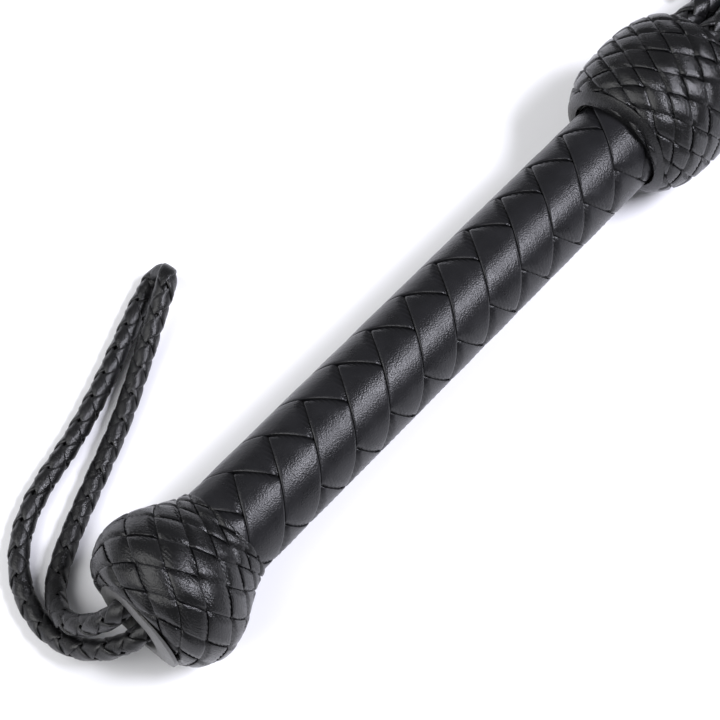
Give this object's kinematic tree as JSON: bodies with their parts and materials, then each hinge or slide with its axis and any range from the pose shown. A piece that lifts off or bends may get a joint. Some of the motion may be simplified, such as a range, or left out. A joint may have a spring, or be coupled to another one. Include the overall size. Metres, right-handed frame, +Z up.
{
  "type": "plaited leather hand whip",
  "caption": "Plaited leather hand whip: a stiff covered handle with a knotted pommel and wrist loop, and a knotted neck from which braided tails leave in a tied hank.",
  "frame": {"origin": "under the middle of the handle, on the surface it rests on", "axes": "+X along the handle from the pommel to the tails, +Z up, +Y towards the side where the wrist loop lies"},
  "size_m": [0.5138, 0.1081, 0.0481],
  "materials": {
    "plaited_leather": "semi-gloss finished cowhide strands",
    "knot_lace": "semi-gloss finished lace, worn at the edges",
    "braided_cord": "round-braided lace, semi-gloss",
    "bare_leather": "unfinished leather, matt",
    "hardwood": "turned, plain",
    "steel_pin": "bright drawn",
    "waxed_thread": "waxed linen thread",
    "tie_strap": "flat strap leather, semi-gloss"
  },
  "bodies": {
    "handle": {"handle_core": "hardwood", "loop_roots": "braided_cord", "loop_pin": "steel_pin", "handle_sleeve": "bare_leather", "cover_strand_right_1": "plaited_leather", "cover_strand_right_2": "plaited_leather", "cover_strand_right_3": "plaited_leather", "cover_strand_right_4": "plaited_leather", "cover_strand_left_1": "plaited_leather", "cover_strand_left_2": "plaited_leather", "cover_strand_left_3": "plaited_leather", "cover_strand_left_4": "plaited_leather", "pommel_knot_lace": "knot_lace", "pommel_knot_foundation": "bare_leather", "pommel_binding": "waxed_thread", "neck_knot_lace": "knot_lace", "neck_knot_foundation": "bare_leather", "neck_binding": "waxed_thread", "tail_root_binding": "waxed_thread", "tail_roots": "braided_cord"},
    "wrist_loop": {"wrist_loop": "braided_cord"},
    "tails": {"tail_1": "braided_cord", "tail_2": "braided_cord", "tail_3": "braided_cord", "tail_4": "braided_cord", "tail_5": "braided_cord", "tail_6": "braided_cord", "tail_7": "braided_cord", "tail_8": "braided_cord", "tail_9": "braided_cord", "tail_knot_1": "braided_cord", "tail_knot_2": "braided_cord", "tail_knot_3": "braided_cord", "tail_knot_4": "braided_cord", "tail_knot_5": "braided_cord", "tail_knot_6": "braided_cord", "tail_knot_7": "braided_cord", "tail_knot_8": "braided_cord", "tail_knot_9": "braided_cord", "hank_inner": "braided_cord", "hank_middle": "braided_cord", "hank_outer": "braided_cord", "hank_tie": "tie_strap"}
  },
  "joints": [
    {"name": "wrist_loop_swing", "type": "hinge", "parent": "handle", "child": "wrist_loop", "pos_m": [-0.121, 0.0004, 0.0239], "axis": [0, 0, 1], "range_deg": [-15, 60]},
    {"name": "tails_swing", "type": "hinge", "parent": "handle", "child": "tails", "pos_m": [0.121, 0, 0.0239], "axis": [0, 0, 1], "range_deg": [-15, 15]}
  ]
}
